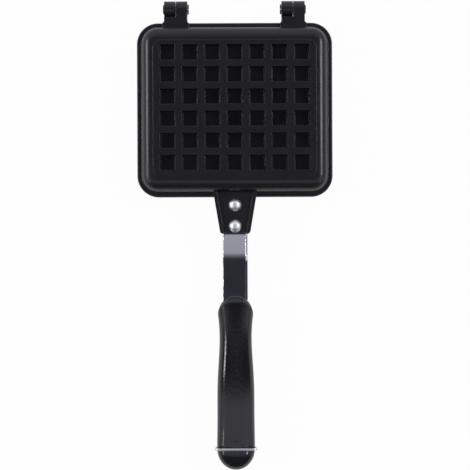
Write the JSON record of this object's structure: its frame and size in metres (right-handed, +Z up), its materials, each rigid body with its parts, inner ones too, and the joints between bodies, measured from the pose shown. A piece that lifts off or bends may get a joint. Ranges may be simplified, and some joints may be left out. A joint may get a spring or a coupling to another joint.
{
  "type": "stovetop waffle pan",
  "caption": "Hinged waffle plates with a square pocket grid, riveted steel straps, moulded grips and a wire latch that holds the grips closed.",
  "frame": {"origin": "centre of the lower plate's resting face, with the pan closed", "axes": "+X to the right, +Y from the grips towards the hinge, +Z up out of the upper plate"},
  "size_m": [0.156, 0.3748, 0.032],
  "materials": {
    "coated_casting": "satin black non-stick coating on cast aluminium",
    "strap_steel": "bright polished steel",
    "rivet_aluminium": "bright, lightly dimpled",
    "grip_plastic": "glossy black moulded thermoset",
    "pin_steel": "dark steel",
    "screw_steel": "zinc plated",
    "insert_brass": "plain",
    "latch_steel": "bright plated wire"
  },
  "bodies": {
    "lower_half": {"lower_plate": "coated_casting", "hinge_pin_left": "pin_steel", "hinge_pin_right": "pin_steel", "lower_strap": "strap_steel", "lower_front_rivet": "rivet_aluminium", "lower_rear_rivet": "rivet_aluminium", "lower_grip": "grip_plastic", "lower_front_screw": "screw_steel", "lower_rear_screw": "screw_steel", "lower_front_insert": "insert_brass", "lower_rear_insert": "insert_brass"},
    "upper_half": {"upper_plate": "coated_casting", "upper_strap": "strap_steel", "upper_front_rivet": "rivet_aluminium", "upper_rear_rivet": "rivet_aluminium", "upper_grip": "grip_plastic", "upper_front_screw": "screw_steel", "upper_rear_screw": "screw_steel", "upper_front_insert": "insert_brass", "upper_rear_insert": "insert_brass"},
    "latch": {"latch_wire": "latch_steel"}
  },
  "joints": [
    {"name": "plate_hinge", "type": "hinge", "parent": "lower_half", "child": "upper_half", "pos_m": [0, 0.081, 0.016], "axis": [-1, 0, 0], "range_deg": [0, 180]},
    {"name": "latch_pivot", "type": "hinge", "parent": "lower_half", "child": "latch", "pos_m": [0, -0.2715, 0.0085], "axis": [1, 0, 0], "range_deg": [0, 220]}
  ]
}
